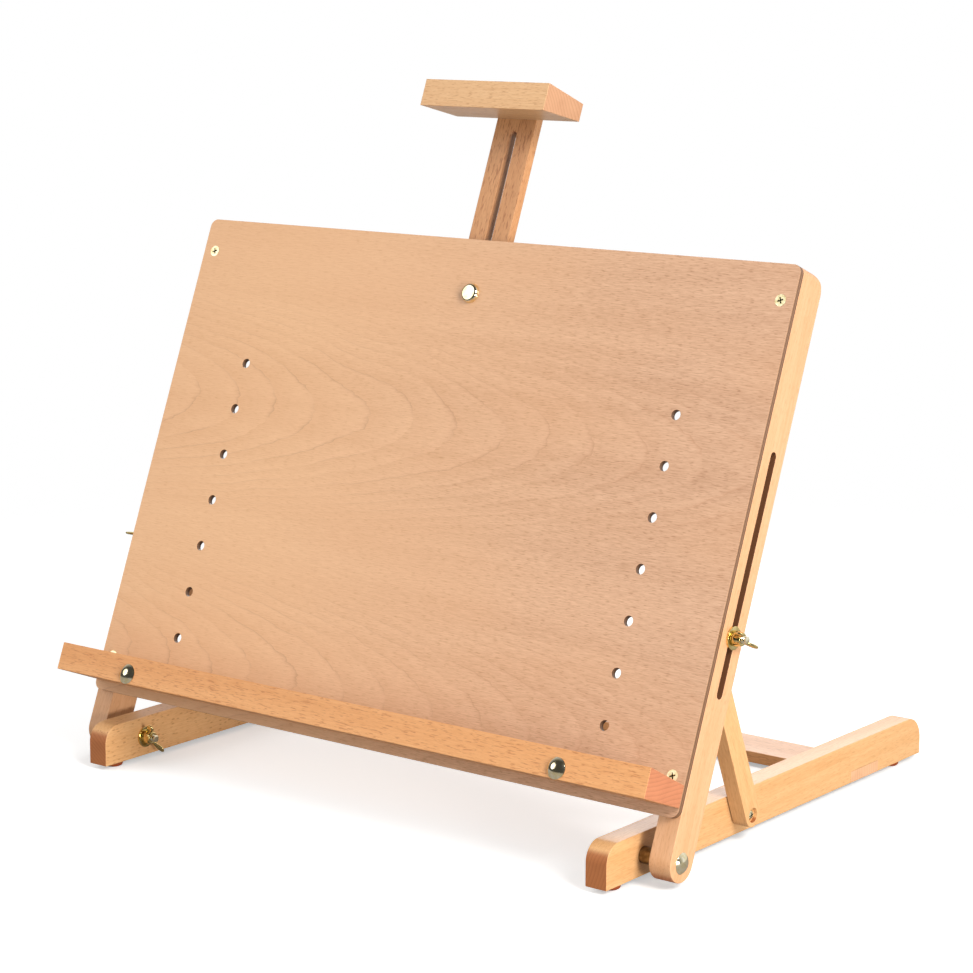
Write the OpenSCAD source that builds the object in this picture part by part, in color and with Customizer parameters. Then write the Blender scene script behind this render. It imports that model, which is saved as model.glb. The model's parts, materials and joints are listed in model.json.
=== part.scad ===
// Portable tabletop drawing board: a plywood board on two side rails, hinged on a low base and
// propped by two struts whose clamping bolts run in the slotted rails. A ledge and a sliding mast
// with a top block hold the work. Millimetres, +Z up, X to the right, the front faces -Y.

/* [Drawing board] */
// Width of the plywood board
board_w = 600; // [500:5:700]
// Height of the plywood board, along its slope
board_h = 420; // [400:5:500]
// Thickness of the plywood
board_t = 5; // [4:0.5:8]
// Radius of the board's corners
corner_r = 7; // [4:1:20]
// Angle of the board from level
rest_tilt = 68.2; // [60:0.1:74]
// Distance from the middle to each column of holes
hole_x = 220; // [180:5:230]
// Distance between the holes in a column
hole_pitch = 40; // [36:1:44]
// Diameter of the holes
hole_d = 8; // [7:0.5:9]
// Distance from the board's bottom edge to the lowest hole
hole_up = 16; // [15:0.5:20]

/* [Side rails] */
// Thickness of the beech in the rails and the legs
stock_t = 19; // [17:0.5:22]
// Depth of a rail behind the board
rail_d = 30; // [28:1:34]
// Distance from the pivot to the board's bottom edge
pivot_drop = 30; // [26:1:34]
// Width of the long slot
slot_w = 7.5; // [7:0.1:8]
// Start of the slot, from the pivot
slot_low = 122.5; // [110:0.5:130]
// Length of the slot
slot_len = 188; // [180:1:200]
// Place of the clamping bolt in the slot, from the pivot
slot_bolt_u = 169; // [150:1:200]

/* [Base] */
// Length of a base leg
leg_len = 460; // [440:5:500]
// Height of a base leg
leg_h = 33.5; // [32:0.5:36]
// Gap between a leg and its rail, which holds the strut
side_gap = 15; // [15:0.5:18]
// Distance from the leg's front end to the pivot
pivot_back = 46.7; // [40:0.1:55]
// Height of the pivot above the leg's underside
pivot_up = 16.2; // [15:0.1:18]
// Height of a foot
foot_h = 4; // [3:0.5:6]
// Distance from the leg's front end to the crossbar
crossbar_back = 346; // [300:1:370]
// Width of the crossbar
crossbar_w = 44; // [36:1:50]
// Thickness of the crossbar
crossbar_t = 9.5; // [8:0.5:12]

/* [Struts] */
// Thickness of a strut
strut_t = 13.4; // [12:0.1:13.4]
// Width of a strut
strut_w = 19; // [17:0.5:20]
// Distance from the leg's front end to the strut's screw
strut_back = 174; // [165:1:185]
// Height of the strut's screw above the leg's underside
strut_up = 17.5; // [16:0.5:18]

/* [Mast and ledge] */
// Length of the mast
mast_len = 400; // [380:5:420]
// Width of the mast
mast_w = 40; // [36:1:44]
// Thickness of the mast
mast_t = 8.4; // [6:0.2:8.4]
// Height of the mast's top above the board's bottom edge
mast_top = 539.5; // [520:0.5:640]
// Width of the mast's slot
mast_slot_w = 6.4; // [6.4:0.1:8]
// Width of the top block
block_w = 125; // [100:1:140]
// Depth of the top block, front to back
block_d = 48.9; // [40:0.1:55]
// Depth of the ledge, front to back
ledge_d = 48.5; // [40:0.5:55]
// Height of the ledge at its front
ledge_front_h = 23; // [20:0.5:26]
// Height of the ledge at the board
ledge_back_h = 17; // [14:0.5:19]

/* [Hidden] */
$fn = 48;
LEFT = -1;
RIGHT = 1;

// Hardware: M6 carriage bolts, washers and wing nuts, and wood screws
bolt_r = 3;
bolt_hole_r = 3.06;
head_r = 8.3;
head_h = 3.8;
head_ball_r = (head_r * head_r + head_h * head_h) / (2 * head_h);
washer_r = 9;
washer_t = 1.6;
spacer_r = 6.5;
nut_h = 7.5;
nut_wing_t = 2.6;
nut_reach = 15;
bolt_proud = 4;
screw_r = 2;
screw_head_r = 4.8;
screw_head_h = 2.8;
recess_w = 5;
recess_t = 1;
recess_h = 1.8;
strut_screw_r = 2.3;
strut_screw_head_r = 4.6;
strut_recess_r = 5.8;
strut_recess_h = 3.6;
bolt_recess_r = 8.8;
bolt_recess_h = 4.2;
fit = 0.3;
eps = 0.01;

// Across the object, from the middle outwards
half_w = board_w / 2;
rail_in = half_w - stock_t;
leg_out = rail_in - side_gap;
leg_in = leg_out - stock_t;
leg_mid = leg_out - stock_t / 2;
strut_in = leg_out + 1;
strut_out = strut_in + strut_t;

// On the board: u runs up the board from the pivot, n points out of its front
board_low = pivot_drop;
board_up = pivot_drop + board_h;
board_back_n = rail_d / 2;
board_front_n = board_back_n + board_t;
row_count = 8;
first_row_u = board_low + hole_up;
ledge_u = board_low + 8;
ledge_front_n = board_front_n + ledge_d;
clamp_u = board_up - 45;
mast_front_n = board_back_n - 0.4;
mast_back_n = mast_front_n - mast_t;
mast_top_u = board_low + mast_top;
mast_low_u = mast_top_u - mast_len;
mast_slot_low_u = mast_low_u + 30;
mast_slot_top_u = mast_top_u - 25.5;
block_front_n = mast_front_n + block_d;
block_front_h = 22.5;
block_back_h = 15;
guide_w = 25;
guide_len = 70;
guide_back_n = mast_back_n - fit;
bridge_t = 4.5;
bridge_back_n = guide_back_n - bridge_t;
bridge_len = 60;
screw_in = 24;

// The pivot's place: the object's footprint is centred between the heads of the ledge's bolts
// and the rear ends of the legs
ledge_ball_n = ledge_front_n + head_h - head_ball_r;
front_y = first_row_u * cos(rest_tilt) - ledge_ball_n * sin(rest_tilt) - head_ball_r;
rear_y = leg_len - pivot_back;
pivot_y = -(front_y + rear_y) / 2;
pivot_z = foot_h + pivot_up;

// The strut, from its screw on the leg up to the bolt in the rail's slot
strut_dy = slot_bolt_u * cos(rest_tilt) - (strut_back - pivot_back);
strut_dz = slot_bolt_u * sin(rest_tilt) - (strut_up - pivot_up);
strut_len = sqrt(strut_dy * strut_dy + strut_dz * strut_dz);
strut_lean = atan2(strut_dz, strut_dy);

// The children's x, y, z become across, up the board and out of the board
module on_board() {
    translate([0, pivot_y, pivot_z]) rotate([rest_tilt, 0, 0]) children();
}

// The children's origin becomes the front end of the legs' undersides
module on_base() {
    translate([0, pivot_y - pivot_back, foot_h]) children();
}

module mirrored_pair() {
    children();
    mirror([1, 0, 0]) children();
}

module on_side(side) {
    if (side == RIGHT) children();
    else mirror([1, 0, 0]) children();
}

// A flat outline drawn in y and z, as thick as t and starting at x
module side_plate(x, t) {
    translate([x, 0, 0]) rotate([90, 0, 90]) linear_extrude(t) children();
}

// A round bar along x
module cross_bar(x, len, r) {
    translate([x, 0, 0]) rotate([0, 90, 0]) cylinder(h = len, r = r);
}

// A rectangle from the origin with all four corners rounded
module round_rect(w, h, r) {
    translate([r, 0]) square([w - 2 * r, h]);
    translate([0, r]) square([w, h - 2 * r]);
    for (x = [r, w - r], y = [r, h - r]) translate([x, y]) circle(r);
}

// A slot with round ends that runs along x, from its first end
module slot_2d(len, w) {
    translate([w / 2, -w / 2]) square([len - w, w]);
    for (x = [w / 2, len - w / 2]) translate([x, 0]) circle(w / 2);
}

// The board's outline, seen from the front
module board_outline() {
    translate([-half_w, board_low]) round_rect(board_w, board_h, corner_r);
}

// Low domed bolt head that stands on z = 0
module dome_head() {
    intersection() {
        translate([0, 0, head_h - head_ball_r]) sphere(r = head_ball_r, $fn = 64);
        cylinder(h = head_h + 1, r = head_r);
    }
}

// Carriage bolt: its head stands on z = 0 and its shank points down
module carriage_bolt(len) {
    dome_head();
    translate([0, 0, -len]) cylinder(h = len + eps, r = bolt_r);
}

module washer() {
    difference() {
        cylinder(h = washer_t, r = washer_r);
        translate([0, 0, -1]) cylinder(h = washer_t + 2, r = bolt_hole_r);
    }
}

// Wing nut on z = 0: a round hub with two wings that rise away from it
module wing_nut(turn) {
    rotate([0, 0, turn]) difference() {
        union() {
            cylinder(h = nut_h, r1 = 6, r2 = 4.8);
            for (flip = [0, 180]) rotate([90, 0, flip])
                translate([0, 0, -nut_wing_t / 2]) linear_extrude(nut_wing_t) {
                    polygon([[0, 1], [5, 1], [nut_reach - 1, 6.5], [nut_reach - 5, 12.5], [0, 6.5]]);
                    translate([nut_reach - 3.6, 10.4]) circle(r = 3.6, $fn = 32);
                }
        }
        translate([0, 0, -1]) cylinder(h = nut_h + 8, r = bolt_hole_r);
    }
}

// Countersunk wood screw: its flat head is at z = 0 and it points down
module wood_screw(len) {
    difference() {
        union() {
            translate([0, 0, -screw_head_h]) cylinder(h = screw_head_h, r1 = screw_r, r2 = screw_head_r);
            translate([0, 0, -len]) cylinder(h = len - screw_head_h + eps, r = screw_r);
        }
        cross_recess();
    }
}

// Cross-shaped driver recess, cut from z = 0 down
module cross_recess() {
    for (turn = [20, 110]) rotate([0, 0, turn])
        translate([-recess_w / 2, -recess_t / 2, -recess_h]) cube([recess_w, recess_t, recess_h + 1]);
}

// The space that a countersunk screw takes out of the wood
module screw_hole(len) {
    translate([0, 0, -screw_head_h]) cylinder(h = screw_head_h, r1 = screw_r, r2 = screw_head_r);
    cylinder(h = 1, r = screw_head_r);
    translate([0, 0, -len]) cylinder(h = len, r = screw_r);
}

module leg_outline() {
    front_r = 15;
    rear_r = 20;
    difference() {
        intersection() {
            square([leg_len, leg_h]);
            union() {
                translate([front_r, 0]) square([leg_len - front_r - rear_r, leg_h]);
                square([leg_len, leg_h - rear_r]);
                translate([0, leg_h - rear_r - 1]) square([front_r, rear_r - front_r + 1]);
                translate([front_r, leg_h - front_r]) circle(front_r);
                translate([leg_len - rear_r, leg_h - rear_r]) circle(rear_r);
            }
        }
        translate([crossbar_back, -1]) square([crossbar_w, crossbar_t + 1]);
    }
}

module base_leg(side) {
    on_side(side) on_base() difference() {
        side_plate(leg_in, stock_t) leg_outline();
        translate([0, pivot_back, pivot_up]) cross_bar(leg_in - 1, stock_t + 2, bolt_hole_r);
        translate([0, strut_back, strut_up]) cross_bar(leg_out - 14, 15, strut_screw_r);
        crossbar_screw_places() screw_hole(screw_in);
    }
}

module left_base_leg() {
    color("burlywood") base_leg(LEFT);
}

module right_base_leg() {
    color("burlywood") base_leg(RIGHT);
}

// Two screws come up through each end of the crossbar
module crossbar_screw_places() {
    for (y = [0.3, 0.7])
        translate([leg_mid, crossbar_back + crossbar_w * y, 0]) rotate([180, 0, 0]) children();
}

module rear_crossbar() {
    color("tan") on_base() difference() {
        translate([-leg_out, crossbar_back, 0]) cube([2 * leg_out, crossbar_w, crossbar_t]);
        mirrored_pair() crossbar_screw_places() screw_hole(screw_in);
    }
}

module crossbar_screws() {
    color("gold") on_base() mirrored_pair() crossbar_screw_places() wood_screw(screw_in);
}

// Turned button feet with a rounded rim, under both ends of each leg
module feet() {
    foot_r = 8;
    rim_r = 2.5;
    color("sienna") on_base() mirrored_pair() for (y = [18, leg_len - 35])
        translate([leg_mid, y, -foot_h]) rotate_extrude() {
            translate([0, rim_r]) square([foot_r, foot_h - rim_r]);
            square([foot_r - rim_r, rim_r + eps]);
            intersection() {
                translate([foot_r - rim_r, rim_r]) circle(rim_r);
                translate([foot_r - rim_r, 0]) square([rim_r, rim_r + eps]);
            }
        }
}

module tube(x, len, r, hole_r) {
    difference() {
        cross_bar(x, len, r);
        cross_bar(x - 1, len + 2, hole_r);
    }
}

module pivot_spacers() {
    color("darkkhaki") on_base() translate([0, pivot_back, pivot_up])
        mirrored_pair() tube(leg_out, side_gap, spacer_r, bolt_hole_r);
}

module pivot_washers() {
    color("goldenrod") on_base() translate([0, pivot_back, pivot_up])
        mirrored_pair() tube(leg_in - washer_t, washer_t, washer_r, bolt_hole_r);
}

module strut_washers() {
    color("goldenrod") on_base() translate([0, strut_back, strut_up])
        mirrored_pair() tube(leg_out, strut_in - leg_out, 6, strut_screw_r + 0.05);
}

// Round-headed screws that the struts turn on, set in recesses in their outer faces
module strut_screws() {
    head_x = strut_out - strut_recess_h;
    color("gold") on_base() translate([0, strut_back, strut_up]) mirrored_pair() difference() {
        union() {
            cross_bar(leg_out - 14, head_x - leg_out + 14 + eps, strut_screw_r);
            intersection() {
                cross_bar(head_x, 2.6, strut_screw_head_r);
                translate([head_x - 3.2, 0, 0]) sphere(r = 5.8, $fn = 64);
            }
        }
        translate([head_x + 2.9, 0, 0]) rotate([0, 90, 0]) cross_recess();
    }
}

// Puts its children at each corner screw of the board
module corner_screw_places() {
    for (side = [-1, 1], u = [board_low + 30, board_up - 28.5])
        translate([side * (half_w - 12), u, board_front_n]) children();
}

module drawing_board() {
    color("bisque") on_board() difference() {
        translate([0, 0, board_back_n]) linear_extrude(board_t) difference() {
            board_outline();
            for (x = [-hole_x, hole_x], row = [1 : row_count - 1])
                translate([x, first_row_u + row * hole_pitch]) circle(d = hole_d);
            for (x = [-hole_x, hole_x]) translate([x, first_row_u]) circle(bolt_hole_r);
            translate([0, clamp_u]) circle(bolt_hole_r);
        }
        corner_screw_places() screw_hole(screw_in);
    }
}

// The rail's outline, seen from the side: round about the pivot, with a round upper rear corner
module rail_outline() {
    half_d = rail_d / 2;
    difference() {
        union() {
            circle(half_d);
            translate([0, -half_d]) square([board_up - half_d, rail_d]);
            translate([board_up - half_d - 1, 0]) square([half_d + 1, half_d]);
            translate([board_up - half_d, 0]) circle(half_d);
        }
        translate([slot_low, 0]) slot_2d(slot_len, slot_w);
    }
}

module side_rail(side) {
    on_side(side) on_board() difference() {
        intersection() {
            side_plate(rail_in, stock_t) rail_outline();
            translate([0, 0, -rail_d]) linear_extrude(2 * rail_d) union() {
                board_outline();
                translate([0, -rail_d]) square([half_w, board_h]);
            }
        }
        cross_bar(rail_in - 1, stock_t + 2, bolt_hole_r);
        corner_screw_places() screw_hole(screw_in);
    }
}

module left_side_rail() {
    color("wheat") side_rail(LEFT);
}

module right_side_rail() {
    color("wheat") side_rail(RIGHT);
}

module corner_screws() {
    color("gold") on_board() corner_screw_places() wood_screw(screw_in);
}

// Bolts that the board hinges on: they run from the rail's outer face to the leg's inner face
module pivot_bolts() {
    bolt_len = half_w - leg_in + washer_t + nut_h + bolt_proud;
    color("gold") on_board() mirrored_pair()
        translate([half_w, 0, 0]) rotate([0, 90, 0]) carriage_bolt(bolt_len);
}

module ledge() {
    color("peru") on_board() difference() {
        translate([-half_w, ledge_u, board_front_n]) rotate([90, 0, 90]) linear_extrude(board_w)
            polygon([[0, 0], [0, ledge_d], [ledge_front_h, ledge_d], [ledge_back_h, 0]]);
        ledge_bolt_places() translate([0, 0, -ledge_d - 1]) cylinder(h = ledge_d + 2, r = bolt_hole_r);
    }
}

module ledge_bolt_places() {
    for (x = [-hole_x, hole_x]) translate([x, first_row_u, ledge_front_n]) children();
}

module ledge_bolts() {
    bolt_len = ledge_d + board_t + washer_t + nut_h + bolt_proud;
    color("gold") on_board() ledge_bolt_places() carriage_bolt(bolt_len);
}

module ledge_washers() {
    color("goldenrod") on_board() for (x = [-hole_x, hole_x])
        translate([x, first_row_u, board_back_n - washer_t]) washer();
}

module bridge_screw_places() {
    for (x = [-1, 1], u = [-1, 1])
        translate([x * (mast_w / 2 + guide_w / 2), clamp_u + u * 20, bridge_back_n])
            rotate([180, 0, 0]) children();
}

// Strips beside the mast, glued to the back of the board
module mast_guide(side) {
    on_side(side) on_board() difference() {
        translate([mast_w / 2 + fit, clamp_u - guide_len / 2, guide_back_n])
            cube([guide_w, guide_len, board_back_n - guide_back_n]);
        bridge_screw_places() screw_hole(12);
    }
}

module left_mast_guide() {
    color("burlywood") mast_guide(LEFT);
}

module right_mast_guide() {
    color("burlywood") mast_guide(RIGHT);
}

// Plate across the guides, behind the mast
module guide_bridge() {
    half = mast_w / 2 + fit + guide_w;
    color("burlywood") on_board() difference() {
        translate([-half, clamp_u - bridge_len / 2, bridge_back_n])
            linear_extrude(bridge_t) round_rect(2 * half, bridge_len, 6);
        translate([0, clamp_u, bridge_back_n - 1]) cylinder(h = bridge_t + 2, r = bolt_hole_r);
        bridge_screw_places() screw_hole(12);
    }
}

module bridge_screws() {
    color("gold") on_board() bridge_screw_places() wood_screw(12);
}

module clamp_bolt() {
    bolt_len = board_front_n - bridge_back_n + washer_t + nut_h + bolt_proud;
    color("gold") on_board() translate([0, clamp_u, board_front_n]) carriage_bolt(bolt_len);
}

module clamp_washer() {
    color("goldenrod") on_board() translate([0, clamp_u, bridge_back_n - washer_t]) washer();
}

module block_screw_places() {
    for (x = [-12, 12])
        translate([x, mast_top_u - 8, mast_back_n]) rotate([180, 0, 0]) children();
}

module mast() {
    color("burlywood") on_board() difference() {
        translate([0, mast_low_u, mast_back_n]) linear_extrude(mast_t) difference() {
            translate([-mast_w / 2, 0]) round_rect(mast_w, mast_len, 3);
            translate([0, mast_slot_low_u - mast_low_u]) rotate(90)
                slot_2d(mast_slot_top_u - mast_slot_low_u, mast_slot_w);
        }
        block_screw_places() screw_hole(screw_in);
    }
}

module top_block() {
    color("sandybrown") on_board() difference() {
        translate([-block_w / 2, mast_top_u, mast_front_n]) rotate([90, 0, 90])
            linear_extrude(block_w)
                polygon([[0, 0], [-block_back_h, 0], [-block_front_h, block_d], [0, block_d]]);
        block_screw_places() screw_hole(screw_in);
    }
}

module block_screws() {
    color("gold") on_board() block_screw_places() wood_screw(screw_in);
}

// The clamping bolt's stretch in the rail's slot. It ends just outside the strut, where the
// linkage is open: the head and the neck are in the strut
module slot_bolt(side) {
    start = rail_in + 0.2;
    on_side(side) on_board() translate([0, slot_bolt_u, 0])
        cross_bar(start, half_w + washer_t + nut_h + bolt_proud - start, bolt_r);
}

module left_slot_bolt() {
    color("gold") slot_bolt(LEFT);
}

module right_slot_bolt() {
    color("gold") slot_bolt(RIGHT);
}

module slot_washer(side) {
    on_side(side) on_board() translate([0, slot_bolt_u, 0])
        tube(half_w, washer_t, washer_r, bolt_hole_r);
}

module left_slot_washer() {
    color("goldenrod") slot_washer(LEFT);
}

module right_slot_washer() {
    color("goldenrod") slot_washer(RIGHT);
}

// The children's origin is the strut's screw, and y runs along the strut
module on_strut() {
    on_base() translate([0, strut_back, strut_up]) rotate([strut_lean, 0, 0]) children();
}

module strut(side) {
    on_side(side) on_strut() difference() {
        side_plate(strut_in, strut_t) union() {
            translate([0, -strut_w / 2]) square([strut_len, strut_w]);
            circle(strut_w / 2);
            translate([strut_len, 0]) circle(strut_w / 2);
        }
        cross_bar(strut_in - 1, strut_t + 2, strut_screw_r + 0.08);
        cross_bar(strut_out - strut_recess_h, strut_recess_h + 1, strut_recess_r);
        translate([0, strut_len, 0]) {
            cross_bar(strut_in - 1, strut_t + 2, bolt_hole_r);
            cross_bar(strut_in - 1, bolt_recess_h + 1, bolt_recess_r);
        }
    }
}

module left_strut() {
    color("burlywood") strut(LEFT);
}

module right_strut() {
    color("burlywood") strut(RIGHT);
}

// The clamping bolt's head and its neck through the strut
module strut_bolt(side) {
    on_side(side) on_strut() translate([strut_in + bolt_recess_h, strut_len, 0])
        rotate([0, -90, 0]) carriage_bolt(strut_t - bolt_recess_h);
}

module left_strut_bolt() {
    color("gold") strut_bolt(LEFT);
}

module right_strut_bolt() {
    color("gold") strut_bolt(RIGHT);
}

// Wing nut on a pivot bolt, against the leg's inner face
module pivot_nut(side, turn) {
    color("darkgoldenrod") on_side(side) on_base()
        translate([leg_in - washer_t, pivot_back, pivot_up]) rotate([0, -90, 0]) wing_nut(turn);
}

module left_pivot_nut() {
    pivot_nut(LEFT, -30);
}

module right_pivot_nut() {
    pivot_nut(RIGHT, 80);
}

// Wing nut on a slot bolt, outside the rail
module slot_nut(side, turn) {
    color("darkgoldenrod") on_side(side) on_board()
        translate([half_w + washer_t, slot_bolt_u, 0]) rotate([0, 90, 0]) wing_nut(turn);
}

module left_slot_nut() {
    slot_nut(LEFT, 10);
}

module right_slot_nut() {
    slot_nut(RIGHT, -11);
}

// Wing nut behind the board, on a bolt that points out of its back
module back_nut(x, u, n, turn) {
    color("darkgoldenrod") on_board() translate([x, u, n]) rotate([180, 0, 0]) wing_nut(turn);
}

module left_ledge_nut() {
    back_nut(-hole_x, first_row_u, board_back_n - washer_t, 20);
}

module right_ledge_nut() {
    back_nut(hole_x, first_row_u, board_back_n - washer_t, -35);
}

module clamp_nut() {
    back_nut(0, clamp_u, bridge_back_n - washer_t, 90);
}

left_base_leg();
right_base_leg();
rear_crossbar();
crossbar_screws();
feet();
pivot_spacers();
pivot_washers();
strut_screws();
strut_washers();
drawing_board();
left_side_rail();
right_side_rail();
corner_screws();
pivot_bolts();
ledge();
ledge_bolts();
ledge_washers();
left_mast_guide();
right_mast_guide();
guide_bridge();
bridge_screws();
clamp_bolt();
clamp_washer();
mast();
top_block();
block_screws();
left_slot_bolt();
right_slot_bolt();
left_slot_washer();
right_slot_washer();
left_strut();
right_strut();
left_strut_bolt();
right_strut_bolt();
left_pivot_nut();
right_pivot_nut();
left_slot_nut();
right_slot_nut();
left_ledge_nut();
right_ledge_nut();
clamp_nut();
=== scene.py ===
"""Looks of the portable drawing board: eased beech parts, rotary-cut plywood and yellow zinc hardware."""
import json
import math

import bmesh
import bpy
import numpy as np
from mathutils import Euler, Matrix, Vector


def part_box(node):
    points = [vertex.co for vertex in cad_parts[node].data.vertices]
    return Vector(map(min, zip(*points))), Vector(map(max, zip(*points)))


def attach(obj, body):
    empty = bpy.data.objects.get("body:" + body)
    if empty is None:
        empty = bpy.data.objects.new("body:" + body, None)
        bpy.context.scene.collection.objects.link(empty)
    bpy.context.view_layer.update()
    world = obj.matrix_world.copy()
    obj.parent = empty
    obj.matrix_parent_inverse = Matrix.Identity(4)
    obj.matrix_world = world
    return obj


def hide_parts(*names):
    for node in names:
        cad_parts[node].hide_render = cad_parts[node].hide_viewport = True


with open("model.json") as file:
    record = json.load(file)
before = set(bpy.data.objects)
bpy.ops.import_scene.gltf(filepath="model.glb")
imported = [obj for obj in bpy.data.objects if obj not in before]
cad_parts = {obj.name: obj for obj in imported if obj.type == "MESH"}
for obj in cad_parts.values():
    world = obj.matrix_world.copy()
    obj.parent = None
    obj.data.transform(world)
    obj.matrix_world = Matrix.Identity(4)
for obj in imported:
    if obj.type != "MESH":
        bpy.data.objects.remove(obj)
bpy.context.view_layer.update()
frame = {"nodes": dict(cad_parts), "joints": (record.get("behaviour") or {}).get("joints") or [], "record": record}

MM = 0.001
JOINTS = {joint["name"]: joint for joint in frame["joints"]}

# The board's own directions: UP runs up the board, OUT points out of its front
PIVOT = Vector(JOINTS["board_tilt"]["pos_m"])
UP = Vector(JOINTS["mast_slide"]["axis"])
ACROSS = Vector((1, 0, 0))
OUT = ACROSS.cross(UP)
TILT = math.atan2(UP.z, UP.y)
STRUT_FOOT = Vector(JOINTS["right_strut_swing"]["pos_m"])
SLOT_BOLT = Vector(JOINTS["right_slot_nut_turn"]["pos_m"])
STRUT_LEAN = math.atan2(SLOT_BOLT.z - STRUT_FOOT.z, SLOT_BOLT.y - STRUT_FOOT.y)

LEVEL = (0, 0, 0)
FORE_AND_AFT = (0, 0, -math.pi / 2)
UP_THE_BOARD = (-TILT, 0, -math.pi / 2)
ACROSS_THE_BOARD = (-TILT, 0, 0)
ALONG_THE_STRUT = (-STRUT_LEAN, 0, -math.pi / 2)


# ---------------------------------------------------------------- shader node helpers

class Tree:
    """Adds shader nodes to a material or a group and links them, so that each pattern reads as a formula."""

    def __init__(self, tree):
        self.tree = tree

    def add(self, kind, sockets=None, **settings):
        """A new node with its settings, and with its sockets linked or set."""
        node = self.tree.nodes.new(kind)
        for name, value in settings.items():
            setattr(node, name, value)
        for socket, value in (sockets or {}).items():
            self.put(node.inputs[socket], value)
        return node

    def put(self, socket, value):
        """Links a socket to another node's output, or sets it to a plain value."""
        if isinstance(value, bpy.types.NodeSocket):
            self.tree.links.new(value, socket)
        else:
            socket.default_value = value

    def maths(self, operation, a, b=0.0, clamp=False):
        node = self.add("ShaderNodeMath", {0: a, 1: b}, operation=operation, use_clamp=clamp)
        return node.outputs[0]

    def vector(self, operation, a, b):
        return self.add("ShaderNodeVectorMath", {0: a, 1: b}, operation=operation).outputs[0]

    def noise(self, where, stretch, detail=2.0, rough=0.5, twist=0.0):
        """Cloudy noise with so many waves per metre along each axis."""
        stretched = self.vector("MULTIPLY", where, stretch)
        node = self.add("ShaderNodeTexNoise", {"Vector": stretched, "Scale": 1.0, "Detail": detail,
                                               "Roughness": rough, "Distortion": twist})
        return node.outputs["Fac"]

    def ramp(self, value, low, high, to_low=0.0, to_high=1.0):
        """A smooth step from to_low at low to to_high at high."""
        node = self.add("ShaderNodeMapRange", {"Value": value, "From Min": low, "From Max": high,
                                               "To Min": to_low, "To Max": to_high},
                        interpolation_type="SMOOTHSTEP")
        return node.outputs[0]

    def blend(self, factor, a, b, how="MIX"):
        """Colour a where factor is 0, and a mixed with b where it is 1."""
        node = self.add("ShaderNodeMix", data_type="RGBA", blend_type=how)
        self.put(node.inputs[0], factor)
        self.put(node.inputs[6], a)
        self.put(node.inputs[7], b)
        return node.outputs[2]


def new_group(name, inputs, outputs):
    """An empty shader group with named sockets: inputs and outputs map a name to (socket type, default)."""
    group = bpy.data.node_groups.new(name, "ShaderNodeTree")
    for in_out, sockets in (("INPUT", inputs), ("OUTPUT", outputs)):
        for socket, (kind, default) in sockets.items():
            made = group.interface.new_socket(name=socket, in_out=in_out, socket_type="NodeSocket" + kind)
            if default is not None:
                made.default_value = default
    tree = Tree(group)
    return group, tree, tree.add("NodeGroupInput").outputs, tree.add("NodeGroupOutput").inputs


def srgb(red, green, blue):
    """Linear colour with alpha from 0-255 display values."""
    def linear(value):
        value /= 255
        return value / 12.92 if value <= 0.04045 else ((value + 0.055) / 1.055) ** 2.4
    return (linear(red), linear(green), linear(blue), 1.0)


# ---------------------------------------------------------------- shared patterns

def make_grain_group():
    """Fine wood texture along the vector's x axis: short fibre streaks, fine dark dashes and broad bands."""
    group, t, given, wanted = new_group(
        "wood_grain", {"Vector": ("Vector", None)},
        {"Fibre": ("Float", None), "Dashes": ("Float", None), "Bands": ("Float", None)})
    where = given["Vector"]
    t.put(wanted["Fibre"], t.ramp(t.noise(where, (80, 1250, 1250), detail=3.0, rough=0.6), 0.30, 0.70))
    t.put(wanted["Dashes"], t.ramp(t.noise(where, (150, 1300, 1300), detail=1.0), 0.56, 0.70))
    broad = t.noise(where, (3.0, 60, 60), detail=3.0, rough=0.5, twist=0.5)
    t.put(wanted["Bands"], t.ramp(broad, 0.28, 0.74))
    return group


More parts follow.
